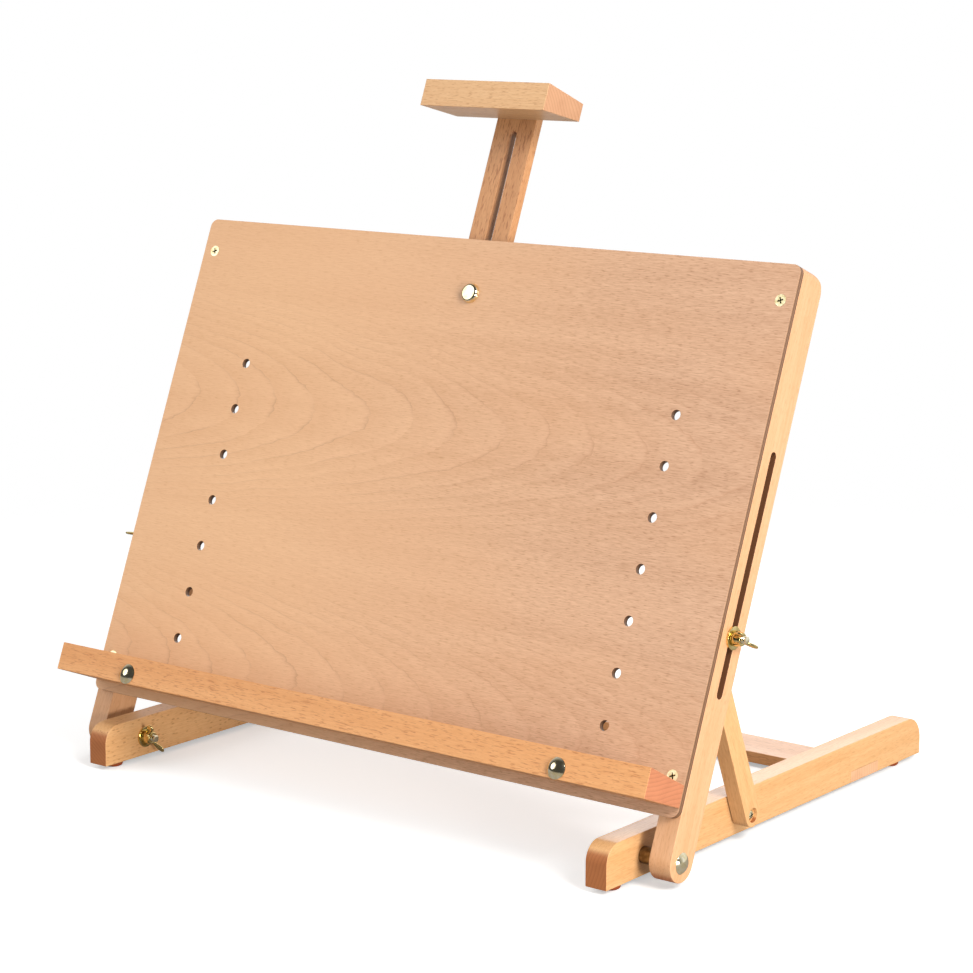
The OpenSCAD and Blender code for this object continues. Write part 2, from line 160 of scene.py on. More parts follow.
def make_beech_group(grain):
    """Solid beech. Growth rings are shells about a pith line that runs along x beside the piece, so that
    side faces show lines and end faces show arcs. Ray flecks are stretched cells, and the end grain is
    darker. Light that bounces off the wood is greyer than the wood itself."""
    group, t, given, wanted = new_group(
        "beech",
        {"Vector": ("Vector", None), "Pith": ("Vector", (0, 0.065, 0.03)), "Ring Width": ("Float", 0.0028),
         "Dash Depth": ("Float", 0.4), "Flecks": ("Float", 0.5), "End Grain": ("Float", 0.0),
         "Slot Shade": ("Float", 0.0), "Pale": ("Color", (1, 1, 1, 1)), "Deep": ("Color", (1, 1, 1, 1)),
         "End": ("Color", (1, 1, 1, 1))},
        {"Color": ("Color", None), "Roughness": ("Float", None), "Height": ("Float", None)})
    where = given["Vector"]
    texture = t.add("ShaderNodeGroup", node_tree=grain)
    t.put(texture.inputs["Vector"], where)
    fibre, dashes, bands = (texture.outputs[name] for name in ("Fibre", "Dashes", "Bands"))
    wander = t.noise(where, (1.6, 14, 14), detail=2.0)
    across = t.vector("MULTIPLY", t.vector("SUBTRACT", where, given["Pith"]), (0, 1, 1))
    radius = t.add("ShaderNodeVectorMath", {0: across}, operation="LENGTH").outputs["Value"]
    radius = t.maths("ADD", radius, t.maths("MULTIPLY", wander, 0.016))
    late_wood = t.maths("POWER", t.maths("FRACT", t.maths("DIVIDE", radius, given["Ring Width"])), 3.0)
    cells = t.add("ShaderNodeTexVoronoi",
                  {"Vector": t.vector("MULTIPLY", where, (170, 500, 500)), "Scale": 1.0, "Randomness": 1.0})
    draw = t.add("ShaderNodeSeparateColor", {0: cells.outputs["Color"]}).outputs[0]
    spindle = t.ramp(cells.outputs["Distance"], 0.20, 0.40, 1.0, 0.0)
    flecks = t.maths("MULTIPLY", t.maths("MULTIPLY", spindle, t.ramp(draw, 0.35, 0.75)), given["Flecks"])
    shade = t.maths("ADD", t.maths("MULTIPLY", bands, 0.38), t.maths("MULTIPLY", late_wood, 0.16))
    shade = t.maths("ADD", shade, t.maths("MULTIPLY", fibre, 0.34), clamp=True)
    colour = t.blend(shade, given["Pale"], given["Deep"])
    mark = t.blend(1.0, given["Deep"], (0.66, 0.50, 0.38, 1), how="MULTIPLY")
    colour = t.blend(t.maths("MULTIPLY", dashes, given["Dash Depth"]), colour, mark)
    colour = t.blend(flecks, colour, mark)
    end_shade = t.maths("ADD", t.maths("MULTIPLY", late_wood, 0.42), t.maths("MULTIPLY", bands, 0.22))
    end_deep = t.blend(1.0, given["End"], (0.60, 0.50, 0.42, 1), how="MULTIPLY")
    colour = t.blend(given["End Grain"], colour, t.blend(end_shade, given["End"], end_deep))
    # Painted shade on a slot's walls: the deep colour is darkened to near black, as far as the Slot Shade input
    # asks
    shaded_slot = t.blend(1.0, given["Deep"], (0.16, 0.10, 0.07, 1), how="MULTIPLY")
    colour = t.blend(given["Slot Shade"], colour, shaded_slot)
    bounced = t.maths("MULTIPLY", t.add("ShaderNodeLightPath").outputs["Is Diffuse Ray"], 0.7)
    t.put(wanted["Color"], t.blend(bounced, colour, (0.30, 0.26, 0.22, 1)))
    worn = t.maths("ADD", 0.42, t.maths("MULTIPLY", given["End Grain"], 0.18))
    t.put(wanted["Roughness"], t.maths("ADD", t.maths("MULTIPLY", shade, 0.12), worn))
    raised = t.maths("MULTIPLY", fibre, 0.35)
    sunk = t.maths("ADD", flecks, t.maths("MULTIPLY", dashes, 0.5))
    t.put(wanted["Height"], t.maths("SUBTRACT", raised, sunk))
    return group


def make_figure_group():
    """Flame figure of rotary-cut veneer. The sheet is folded about one line, and in each half the rings lie
    where x + (y - middle)^2 / bend, a little warped, passes a whole multiple of the spacing: nested curves
    whose tips point along +x. Tone falls slowly from one ring to the next."""
    group, t, given, wanted = new_group(
        "flame_figure",
        {"Vector": ("Vector", None), "Fold": ("Float", 0.19), "Middle": ("Float", 0.1135),
         "Bend": ("Float", 0.023), "Spacing": ("Float", 0.047)},
        {"Line": ("Float", None), "Tone": ("Float", None)})
    where = given["Vector"]
    warp = t.add("ShaderNodeTexNoise", {"Vector": where, "Scale": 8.0, "Detail": 2.0}).outputs["Color"]
    where = t.vector("ADD", where, t.vector("MULTIPLY", warp, (0.05, 0.018, 0)))
    ripple = t.noise(where, (60, 190, 0), detail=2.5)
    split = t.add("ShaderNodeSeparateXYZ", {0: where}).outputs
    folded = t.maths("ABSOLUTE", t.maths("SUBTRACT", split["Y"], given["Fold"]))
    away = t.maths("SUBTRACT", folded, given["Middle"])
    field = t.maths("ADD", split["X"], t.maths("DIVIDE", t.maths("MULTIPLY", away, away), given["Bend"]))
    field = t.maths("ADD", field, t.maths("MULTIPLY", ripple, 0.012))
    share = t.maths("FRACT", t.maths("DIVIDE", field, given["Spacing"]))
    fading = t.ramp(t.maths("ABSOLUTE", away), 0.030, 0.105, 1.0, 0.30)
    t.put(wanted["Line"], t.maths("MULTIPLY", t.maths("POWER", share, 22.0), fading))
    t.put(wanted["Tone"], t.maths("MULTIPLY", t.maths("SUBTRACT", 1.0, share), fading))
    return group


def make_plated_group():
    """Bright plating: cloudy colour, fine grit, and painted shade where the piece is close to itself, as in a
    recess."""
    group, t, given, wanted = new_group(
        "plated_metal",
        {"Vector": ("Vector", None), "Bright": ("Color", (1, 1, 1, 1)), "Dull": ("Color", (1, 1, 1, 1)),
         "Polish": ("Float", 0.2), "Openness": ("Float", 1.0)},
        {"Color": ("Color", None), "Roughness": ("Float", None), "Height": ("Float", None)})
    where = given["Vector"]
    clouds = t.ramp(t.noise(where, (260, 260, 260), detail=3.0), 0.35, 0.7)
    grit = t.noise(where, (2600, 2600, 2600), detail=2.0)
    clean = t.blend(clouds, given["Bright"], given["Dull"])
    # Painted shade: near black where the ambient occlusion finds the piece close to itself
    t.put(wanted["Color"], t.blend(t.ramp(given["Openness"], 0.35, 0.88), (0.05, 0.035, 0.012, 1), clean))
    t.put(wanted["Roughness"], t.maths("ADD", given["Polish"], t.maths("MULTIPLY", clouds, 0.08)))
    t.put(wanted["Height"], t.maths("ADD", t.maths("MULTIPLY", clouds, 0.6), t.maths("MULTIPLY", grit, 0.4)))
    return group


GRAIN = make_grain_group()
BEECH = make_beech_group(GRAIN)
FIGURE = make_figure_group()
PLATED = make_plated_group()


# ---------------------------------------------------------------- materials

# Metres: how near to itself a plated piece must be to get painted shade, the thickness of one light and one dark
# ply, and how far the board's middle is from the pivot, up the board
RECESS_REACH = 0.002
PLY_PITCH = 0.0021
BOARD_MIDDLE = 0.24
# Edges of the board this near its middle, across and up, are walls of holes, which get painted shade: wholly
# within the first figure, and not at all past the second
HOLES_ACROSS = (0.250, 0.260)
HOLES_UP = (0.195, 0.2)


def new_material(name):
    """A material, its tree and its shader."""
    material = bpy.data.materials.new(name)
    material.use_nodes = True
    tree = Tree(material.node_tree)
    shader = material.node_tree.nodes["Principled BSDF"]
    return material, tree, shader


def in_piece(tree, turn, origin=(0, 0, 0)):
    """Object coordinates turned so that x runs along the grain, y across it and z through the piece."""
    place = tree.add("ShaderNodeTexCoord").outputs["Object"]
    mapping = tree.add("ShaderNodeMapping", {"Vector": place, "Rotation": turn}, vector_type="POINT")
    return tree.vector("SUBTRACT", mapping.outputs[0], origin)


def facing(tree, turn, axis):
    """How far a face looks along one axis of the turned piece: 1 head on, 0 edge on."""
    normal = tree.add("ShaderNodeTexCoord").outputs["Normal"]
    mapping = tree.add("ShaderNodeMapping", {"Vector": normal, "Rotation": turn}, vector_type="POINT")
    split = tree.add("ShaderNodeSeparateXYZ", {0: mapping.outputs[0]}).outputs
    return tree.maths("ABSOLUTE", split[axis])


def turned_pivot(turn):
    """The pivot's place in a piece's turned coordinates."""
    return Euler(turn).to_matrix() @ PIVOT


def bumped(tree, shader, height, strength, depth):
    """Raises the surface by a height pattern, depth metres at most."""
    bump = tree.add("ShaderNodeBump", {"Strength": strength, "Distance": depth, "Height": height})
    tree.put(shader.inputs["Normal"], bump.outputs["Normal"])


def slot_walls(tree, turn, axis, through, reach, start, end):
    """1 on the walls of a slot that runs from start to end up the board from the pivot: closer to the middle
    line than reach along axis, and not on the faces that look along the through axis."""
    split = tree.add("ShaderNodeSeparateXYZ", {0: in_piece(tree, turn, turned_pivot(turn))}).outputs
    close = tree.ramp(tree.maths("ABSOLUTE", split[axis]), reach, reach + 0.3 * MM, 1.0, 0.0)
    past = tree.maths("ABSOLUTE", tree.maths("SUBTRACT", split["X"], (start + end) / 2))
    within = tree.maths("LESS_THAN", past, (end - start) / 2)
    walls = tree.maths("MULTIPLY", close, tree.ramp(facing(tree, turn, through), 0.4, 0.8, 1.0, 0.0))
    return tree.maths("MULTIPLY", walls, within)


def beech(name, turn, origin, pale=(240, 190, 136), deep=(206, 146, 94), end=(222, 146, 100), dashes=0.45,
          flecks=0.12, ring=0.0028, slot=None, slot_shade=0.9):
    """Clear-varnished beech whose grain runs along the turned piece's x axis."""
    material, tree, shader = new_material(name)
    group = tree.add("ShaderNodeGroup", node_tree=BEECH)
    tree.put(group.inputs["Vector"], in_piece(tree, turn, origin))
    tree.put(group.inputs["End Grain"], tree.ramp(facing(tree, turn, "X"), 0.70, 0.92))
    # Painted shade: a slot's walls are darkened, by slot_shade at most
    if slot:
        tree.put(group.inputs["Slot Shade"], tree.maths("MULTIPLY", slot_walls(tree, turn, *slot), slot_shade))
    for socket, value in (("Ring Width", ring), ("Dash Depth", dashes), ("Flecks", flecks),
                          ("Pale", srgb(*pale)), ("Deep", srgb(*deep)), ("End", srgb(*end))):
        tree.put(group.inputs[socket], value)
    tree.put(shader.inputs["Base Color"], group.outputs["Color"])
    tree.put(shader.inputs["Roughness"], group.outputs["Roughness"])
    shader.inputs["Coat Weight"].default_value = 0.10
    shader.inputs["Coat Roughness"].default_value = 0.30
    bumped(tree, shader, group.outputs["Height"], 0.25, 0.00012)
    return material


def plywood():
    """Rotary-cut beech veneer with flame figure on the faces, plies at the edges and painted shade on the hole
    walls.
    """
    material, tree, shader = new_material("plywood")
    where = in_piece(tree, ACROSS_THE_BOARD, turned_pivot(ACROSS_THE_BOARD))
    split = tree.add("ShaderNodeSeparateXYZ", {0: where}).outputs
    texture = tree.add("ShaderNodeGroup", {"Vector": where}, node_tree=GRAIN)
    figure = tree.add("ShaderNodeGroup", {"Vector": where}, node_tree=FIGURE)
    side = tree.ramp(split["X"], -0.25, 0.28)
    clouds = tree.ramp(tree.noise(where, (3.0, 9.0, 0), detail=2.0), 0.3, 0.7)
    strong = tree.ramp(side, 0.0, 1.0, 0.42, 0.85)
    shade = tree.maths("ADD", tree.maths("MULTIPLY", texture.outputs["Fibre"], 0.50),
                       tree.maths("MULTIPLY", texture.outputs["Dashes"], 0.55))
    shade = tree.maths("ADD", shade, tree.maths("MULTIPLY", texture.outputs["Bands"], 0.22))
    shade = tree.maths("MULTIPLY", shade, strong)
    shade = tree.maths("ADD", shade, tree.maths("MULTIPLY", figure.outputs["Tone"], 0.16), clamp=True)
    light = tree.blend(side, srgb(252, 201, 152), srgb(238, 192, 156))
    dark = tree.blend(side, srgb(214, 152, 100), srgb(188, 138, 104))
    face = tree.blend(shade, light, dark)
    face = tree.blend(tree.maths("MULTIPLY", clouds, 0.30), face, srgb(238, 180, 132))
    fading = tree.ramp(tree.noise(where, (12, 30, 0), detail=2.0), 0.34, 0.60)
    line = tree.maths("MULTIPLY", figure.outputs["Line"], fading)
    face = tree.blend(tree.maths("MULTIPLY", line, 0.62), face, srgb(196, 138, 100))
    plies = tree.maths("SINE", tree.maths("MULTIPLY", split["Z"], 2 * math.pi / PLY_PITCH))
    edge = tree.blend(tree.ramp(plies, -0.5, 0.5), srgb(112, 78, 54), srgb(154, 114, 82))
    inside = tree.ramp(tree.maths("ABSOLUTE", split["X"]), *HOLES_ACROSS, 1.0, 0.0)
    from_middle = tree.maths("ABSOLUTE", tree.maths("SUBTRACT", split["Y"], BOARD_MIDDLE))
    hole_shade = tree.maths("MULTIPLY", inside, tree.ramp(from_middle, *HOLES_UP, 1.0, 0.0))
    # Painted shade: the hole walls are dark brown in place of the plies
    edge = tree.blend(hole_shade, edge, srgb(112, 80, 56))
    on_face = tree.ramp(facing(tree, ACROSS_THE_BOARD, "Z"), 0.35, 0.8)
    tree.put(shader.inputs["Base Color"], tree.blend(on_face, edge, face))
    tree.put(shader.inputs["Roughness"], tree.maths("ADD", 0.42, tree.maths("MULTIPLY", shade, 0.14)))
    shader.inputs["Coat Weight"].default_value = 0.08
    shader.inputs["Coat Roughness"].default_value = 0.32
    dents = tree.maths("ADD", texture.outputs["Dashes"], line)
    bumped(tree, shader, tree.maths("SUBTRACT", texture.outputs["Fibre"], dents), 0.22, 0.0001)
    return material


def plated(name, bright, dull, polish):
    """Zinc plating between a bright and a dull colour, with polish as its lowest roughness."""
    material, tree, shader = new_material(name)
    where = tree.add("ShaderNodeTexCoord").outputs["Object"]
    # Painted shade in recesses: ambient occlusion within RECESS_REACH darkens the plating
    recess_shade = tree.add("ShaderNodeAmbientOcclusion", {"Distance": RECESS_REACH}, samples=8, only_local=True)
    group = tree.add("ShaderNodeGroup", {"Vector": where, "Bright": srgb(*bright), "Dull": srgb(*dull),
                                         "Polish": polish, "Openness": recess_shade.outputs["AO"]}, node_tree=PLATED)
    tree.put(shader.inputs["Base Color"], group.outputs["Color"])
    tree.put(shader.inputs["Roughness"], group.outputs["Roughness"])
    shader.inputs["Metallic"].default_value = 1.0
    bumped(tree, shader, group.outputs["Height"], 0.10, 0.00003)
    return material


def foot_plastic():
    """Matt red-brown plastic with a fine moulded grain."""
    material, tree, shader = new_material("foot_plastic")
    where = tree.add("ShaderNodeTexCoord").outputs["Object"]
    grain = tree.noise(where, (900, 900, 900), detail=2.0)
    stain = tree.ramp(tree.noise(where, (90, 90, 90)), 0.3, 0.7)
    tree.put(shader.inputs["Base Color"], tree.blend(stain, srgb(176, 82, 34), srgb(140, 58, 24)))
    tree.put(shader.inputs["Roughness"], tree.maths("ADD", 0.42, tree.maths("MULTIPLY", grain, 0.15)))
    bumped(tree, shader, grain, 0.3, 0.0001)
    return material


# ---------------------------------------------------------------- surfaces

def skin(rows, start, end):
    """Closed tube of faces over a grid: rows (m, n, 3) run round n, and each end is closed to a point."""
    count, round_n = rows.shape[:2]
    verts = np.vstack([rows.reshape(-1, 3), [start], [end]])
    m, n = np.meshgrid(np.arange(count - 1), np.arange(round_n), indexing="ij")
    after = (n + 1) % round_n
    quads = np.stack([m * round_n + n, m * round_n + after, (m + 1) * round_n + after,
                      (m + 1) * round_n + n], axis=-1).reshape(-1, 4)
    around = np.arange(round_n)
    following = (around + 1) % round_n
    last = (count - 1) * round_n
    near_cap = np.stack([following, around, np.full(round_n, count * round_n)], axis=-1)
    far_cap = np.stack([last + around, last + following, np.full(round_n, count * round_n + 1)], axis=-1)
    return verts, quads.tolist() + near_cap.tolist() + far_cap.tolist()


def ring_skin(rows):
    """Faces of a ring-shaped solid: rows (m, n, 3) close on themselves both ways."""
    count, round_n = rows.shape[:2]
    m, n = np.meshgrid(np.arange(count), np.arange(round_n), indexing="ij")
    down, after = (m + 1) % count, (n + 1) % round_n
    here, below = m * round_n, down * round_n
    quads = np.stack([here + n, here + after, below + after, below + n], axis=-1)
    return rows.reshape(-1, 3), quads.reshape(-1, 4).tolist()


def turned(profile, sides=48):
    """Rows of a turned shape: each profile point (r, z) goes round the z axis at radius r."""
    profile = np.asarray(profile, float)
    angle = np.linspace(0, 2 * np.pi, sides, endpoint=False)
    radius, height = profile[:, :1], profile[:, 1:]
    return np.stack([radius * np.cos(angle), radius * np.sin(angle), height + 0 * angle], axis=-1)


def rounded_loop(points, radius, steps=5):
    """Closed profile with each corner replaced by an arc: quadratic curves that start and end at radius
    from the corner."""
    points = np.asarray(points, float)
    before = np.roll(points, 1, axis=0) - points
    after = np.roll(points, -1, axis=0) - points
    before_len = np.linalg.norm(before, axis=1)
    after_len = np.linalg.norm(after, axis=1)
    reach = np.minimum(radius, 0.45 * np.minimum(before_len, after_len))
    start = points + before / before_len[:, None] * reach[:, None]
    end = points + after / after_len[:, None] * reach[:, None]
    share = np.linspace(0, 1, steps)[None, :, None]
    curve = (1 - share) ** 2 * start[:, None] + 2 * share * (1 - share) * points[:, None]
    curve = curve + share ** 2 * end[:, None]
    return curve.reshape(-1, 2)


def placed(shape, place):
    """A closed shape drawn in millimetres, moved by a matrix into its place in metres."""
    verts, faces = shape
    rotation = np.array(place.to_3x3())
    return verts * MM @ rotation.T + np.array(place.translation), faces


# Turned and cast pieces are shaded as round where their faces meet at less than this
ROUND = math.radians(40)


def piece(name, shapes, material, node):
    """Makes one object from placed shapes, and lets it stand for a CAD node."""
    verts, faces, base = [], [], 0
    for part_verts, part_faces in shapes:
        verts.append(part_verts)
        faces += [[base + index for index in face] for face in part_faces]
        base += len(part_verts)
    mesh = bpy.data.meshes.new(name)
    mesh.from_pydata(np.vstack(verts).tolist(), [], faces)
    outward(mesh)
    mesh.materials.append(material)
    mesh.shade_smooth()
    mesh.set_sharp_from_angle(angle=ROUND)
    stand_for(bpy.data.objects.new(name, mesh), node)


def stand_for(made, node):
    """Puts an object in the scene in place of a CAD node, on that node's body."""
    bpy.context.scene.collection.objects.link(made)
    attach(made, BODY_OF[node])
    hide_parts(node)


def outward(mesh):
    """Turns every face of a closed mesh outwards."""
    shape = bmesh.new()
    shape.from_mesh(mesh)
    bmesh.ops.recalc_face_normals(shape, faces=shape.faces)
    shape.to_mesh(mesh)
    shape.free()


def seat(origin, axis, wings=None):
    """Matrix that stands a shape at a point, its z along axis and its x along wings, if they are given."""
    up = Vector(axis).normalized()
    side = Vector(wings).normalized() if wings else up.orthogonal().normalized()
    turn = Matrix((side, up.cross(side), up)).transposed()
    return Matrix.Translation(origin) @ turn.to_4x4()


# ---------------------------------------------------------------- pieces

# Corners sharper than this are eased and shaded as corners; faces nearer to one plane than FLAT are one flat
CORNER = math.radians(30)
FLAT = math.radians(0.6)
BODY_OF = {node: body for body, nodes in frame["record"]["behaviour"]["bodies"].items() for node in nodes}


def eased(node, material, ease, segments=3, smooth=True):
    """A part with its edges eased: the CAD node's faces, merged into whole flats, and a small rounding of
    radius ease along every corner. A wide flat sheet has smooth off and is shaded flat."""
    mesh = frame["nodes"][node].data.copy()
    shape = bmesh.new()
    shape.from_mesh(mesh)
    bmesh.ops.remove_doubles(shape, verts=shape.verts, dist=1e-6)
    bmesh.ops.dissolve_limit(shape, angle_limit=FLAT, verts=shape.verts, edges=shape.edges)
    shape.to_mesh(mesh)
    shape.free()
    mesh.materials.clear()
    mesh.materials.append(material)
    if smooth:
        mesh.shade_smooth()
        mesh.set_sharp_from_angle(angle=CORNER)
    else:
        mesh.shade_flat()
    made = bpy.data.objects.new(node + "_eased", mesh)
    bevel = made.modifiers.new("eased_edges", "BEVEL")
    bevel.width = ease
    bevel.segments = segments
    bevel.limit_method = "ANGLE"
    bevel.angle_limit = CORNER
    bevel.use_clamp_overlap = False
    if smooth:
        flats = made.modifiers.new("flat_faces", "WEIGHTED_NORMAL")
        flats.weight = 100
        flats.keep_sharp = True
    stand_for(made, node)


def make_wood():
    """Every wooden part with its easing in millimetres and its own cut of beech: the grain's direction, where
    in the log the part starts, and its colours. A slot's numbers are those of slot_walls."""
    # The rails' slot walls get painted shade at the full default strength
    rail = dict(pale=(246, 193, 146), deep=(230, 166, 115), dashes=0.30, flecks=0.0,
                slot=("Z", "Y", 3.85 * MM, 0.12, 0.313))
    leg = dict(pale=(250, 198, 140), deep=(226, 162, 100), end=(190, 116, 64), dashes=0.25)
    woods = {
        "right_base_leg": (0.5, beech("beech_right_leg", FORE_AND_AFT, (0.31, 0.02, 0.1), **leg)),
        "left_base_leg": (0.5, beech("beech_left_leg", FORE_AND_AFT, (0.10, -0.05, 0.3),
                                     **{**leg, "flecks": 0.55})),
        "rear_crossbar": (0.3, beech("beech_crossbar", LEVEL, (0.4, 0.31, 0.0), end=(250, 196, 152),
                                     pale=(238, 178, 120), deep=(206, 140, 84))),
        "right_side_rail": (0.5, beech("beech_right_rail", UP_THE_BOARD, (0.21, 0.13, 0.4), **rail)),
        "left_side_rail": (0.5, beech("beech_left_rail", UP_THE_BOARD, (0.57, 0.42, 0.1), **rail)),
        "ledge": (0.4, beech("beech_ledge", ACROSS_THE_BOARD, (0.13, 0.22, 0.27), dashes=0.55, flecks=0.10,
                             pale=(250, 184, 120), deep=(226, 150, 86), end=(214, 138, 98), ring=0.0034)),
        "top_block": (0.4, beech("beech_block", ACROSS_THE_BOARD, (0.73, 0.11, 0.52), dashes=0.5,
                                 pale=(248, 202, 150), deep=(226, 170, 116), end=(222, 168, 128),
                                 ring=0.0034)),
        # The mast's slot walls get weaker painted shade than the rails'
        "mast": (0.4, beech("beech_mast", UP_THE_BOARD, (0.35, 0.71, 0.16), dashes=0.8,
                            pale=(230, 170, 116), deep=(196, 132, 84), slot_shade=0.45,
                            slot=("Y", "Z", 3.4 * MM, 0.195, 0.548))),
        "left_strut": (0.3, beech("beech_left_strut", ALONG_THE_STRUT, (0.61, 0.15, 0.33))),
        "right_strut": (0.3, beech("beech_right_strut", ALONG_THE_STRUT, (0.25, 0.55, 0.13), **leg)),
        "left_mast_guide": (0.9, beech("beech_left_guide", UP_THE_BOARD, (0.45, 0.61, 0.22))),
        "right_mast_guide": (0.9, beech("beech_right_guide", UP_THE_BOARD, (0.15, 0.37, 0.62))),
        "guide_bridge": (0.9, beech("beech_bridge", ACROSS_THE_BOARD, (0.91, 0.53, 0.17))),
    }
    for node, (ease, material) in woods.items():
        eased(node, material, ease * MM)
    eased("drawing_board", plywood(), 0.3 * MM, segments=2, smooth=False)


# Sizes in millimetres that no box gives: the radius of the M6 shank and of the bore round it, the threaded
# lengths of the side bolts and of those that point backwards, and the plain lead before a thread. The last
# number counts the facets round a shank
BOLT_R = 3.0
BORE_R = 3.06
SIDE_THREAD = 16
BACK_THREAD = 14
LEAD = 0.35
SHANK_SIDES = 36


def thread_rows(thread, pitch=1.0, depth=0.42, per_turn=8):
    """Rows of a right-hand screw thread up from z = 0: the radius falls by depth times a triangle wave of
    z / pitch minus the share of a turn, and the wave fades out at both ends."""
    height = np.arange(LEAD, thread, pitch / per_turn)[:, None]
    angle = np.linspace(0, 2 * np.pi, SHANK_SIDES, endpoint=False)[None, :]
    phase = (height / pitch - angle / (2 * np.pi)) % 1.0
    fade = np.clip(np.minimum(height - LEAD, thread - height) / pitch, 0, 1)
    radius = BOLT_R - depth * fade * np.abs(2 * phase - 1)
    return np.stack([radius * np.cos(angle), radius * np.sin(angle), height + 0 * angle], axis=-1)


def headed_rows(head_r, head_h, flatness):
    """Rows of a domed head on z = 0: height head_h * (1 - (r / head_r)^flatness), then a short round rim."""
    rim_h = 0.35
    share = np.sin(np.linspace(0.04, np.pi / 2 - 0.12, 18))
    dome = np.stack([(head_r - 0.05) * share, rim_h + (head_h - rim_h) * (1 - share ** flatness)], axis=-1)
    rim = np.array([[head_r - 0.01, rim_h], [head_r - 0.04, 0.12], [head_r - 0.2, 0.0], [BOLT_R + 0.3, 0.0]])
    return turned(np.vstack([dome, rim]), SHANK_SIDES)


def bolt_shape(length, thread, head_r=0.0, head_h=0.0, flatness=2.2):
    """Bolt along -z: a domed head on z = 0 if it has one, a plain neck and a threaded end."""
    top = turned([[BOLT_R - 0.4, 0.0], [BOLT_R, -0.4]], SHANK_SIDES)
    if head_r:
        top = headed_rows(head_r, head_h, flatness)
    neck = turned([[BOLT_R, -0.5], [BOLT_R, thread - length]], SHANK_SIDES)
    screw = thread_rows(thread)[::-1] - np.array([0, 0, length])
    point = turned([[BOLT_R - 0.55, 0.1 - length], [BOLT_R - 0.8, -length]], SHANK_SIDES)
    return skin(np.concatenate([top, neck, screw, point]), [0, 0, head_h], [0, 0, -length])


def wing_shape(flip):
    """One wing of a wing nut: ellipses carried along the path x = 2.8 + 11.4 s, z = 3.9 + 9.2 s^1.35, for s
    from 0 to 1. The ellipse narrows in a half sine, swells again towards the tip and closes there as a
    quarter circle."""
    share = np.linspace(0, 1, 26)
    path = np.stack([2.8 + 11.4 * share, 3.9 + 9.2 * share ** 1.35], axis=-1)
    heading = np.gradient(path, axis=0)
    heading /= np.linalg.norm(heading, axis=1)[:, None]
    tip = np.clip((share - 0.76) / 0.24, 0, 1)
    closing = np.sqrt(np.clip(1 - tip ** 2, 0, 1)) + 0.02
    width = (3.0 - 0.9 * np.sin(np.pi * np.clip(share / 0.7, 0, 1)) + 0.35 * share) * closing
    thick = (1.6 - 0.45 * share) * (0.4 + 0.6 * closing)
    angle = np.linspace(0, 2 * np.pi, 20, endpoint=False)
    side = np.stack([-heading[:, 1], heading[:, 0]], axis=-1)
    in_plane = path[:, None] + side[:, None] * (width[:, None] * np.cos(angle))[..., None]
    across = thick[:, None] * np.sin(angle)
    rows = np.stack([flip * in_plane[..., 0], flip * across, in_plane[..., 1]], axis=-1)
    return skin(rows, [flip * path[0, 0], 0, path[0, 1]], [flip * path[-1, 0], 0, path[-1, 1]])


def wing_nut_shapes():
    """A tapered hub with a bore and a rounded collar, and two cast wings."""
    hub = rounded_loop([[BORE_R, 0.0], [6.0, 0.0], [5.8, 2.4], [4.9, 7.4], [3.5, 7.4], [BORE_R, 6.9]], 0.5)
    return [ring_skin(turned(hub, 40)), wing_shape(1), wing_shape(-1)]


def washer_shape(outer, thickness):
    """A flat ring on z = 0 with rounded rims."""
    flat = [[BORE_R, 0], [outer, 0], [outer, thickness], [BORE_R, thickness]]
    return ring_skin(turned(rounded_loop(flat, 0.3), 56))


def middle(node):
    """Middle of a node's box."""
    low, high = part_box(node)
    return (low + high) / 2


def on_board(across, up, out):
    """Point of the board's own frame, in millimetres from the middle of the pivot line."""
    return PIVOT + (ACROSS * (across - PIVOT.x / MM) + UP * up + OUT * out) * MM


def span(node, axis):
    """Size of a node's box along x, y or z, in millimetres."""
    low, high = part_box(node)
    return (high - low)[axis] / MM


# How far each wing nut is turned at rest, in degrees, as in the CAD; its height, and how far bolts stand out
TURNS = {"left_pivot_nut": -30, "right_pivot_nut": 80, "left_slot_nut": 10, "right_slot_nut": -11,
         "left_ledge_nut": 20, "right_ledge_nut": -35, "clamp_nut": 90}
NUT_H = 7.5
BOLT_PROUD = 4.0

# Millimetres, from the boxes: half the board's width, the legs' inner faces, the thickness that legs and side
# rails share, and the washers' radius and thickness
HALF_BOARD = span("drawing_board", 0) / 2
LEG_IN = -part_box("left_base_leg")[1].x / MM
STOCK_T = span("left_base_leg", 0)
WASHER_R = span("left_slot_washer", 2) / 2
WASHER_T = span("left_slot_washer", 0)
# Length of bolt past the wood: washer, nut and the end that stands out
PAST_WOOD = WASHER_T + NUT_H + BOLT_PROUD
# The plywood's thickness, and how far the ledge stands out from it
PLY_T = 5.0
LEDGE_DEPTH = 48.5


def wing_nut(node, origin, axis, zero, quarter, material):
    """A wing nut whose wings lie along zero at no turn, and along quarter after a quarter turn."""
    turn = math.radians(TURNS[node])
    wings = zero * math.cos(turn) + quarter * math.sin(turn)
    piece(node + "_cast", [placed(shape, seat(origin, axis, wings)) for shape in wing_nut_shapes()], material,
          node)


